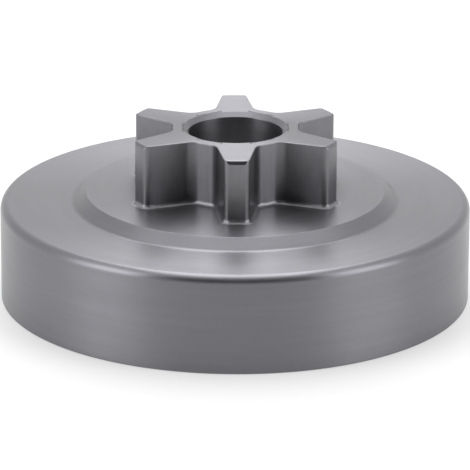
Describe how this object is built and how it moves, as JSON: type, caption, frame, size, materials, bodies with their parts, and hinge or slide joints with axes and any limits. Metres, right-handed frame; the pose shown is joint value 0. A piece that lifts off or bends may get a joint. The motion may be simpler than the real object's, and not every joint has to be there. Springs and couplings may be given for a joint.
{
  "type": "chainsaw clutch drum sprocket",
  "caption": "Clutch drum of a chainsaw with its spur sprocket in one piece: a shallow steel cup whose boss carries the toothed ring that drives the saw chain.",
  "frame": {"origin": "centre of the plane of the drum's open rim, on the shaft's axis", "axes": "+Z along the shaft's axis, from the open rim to the sprocket; -Y to the front, where one tooth points"},
  "size_m": [0.065, 0.065, 0.0241],
  "materials": {
    "steel": "fine-turned bare steel, slightly soft in its reflections"
  },
  "bodies": {
    "root": {"sprocket_drum": "steel"}
  },
  "joints": []
}
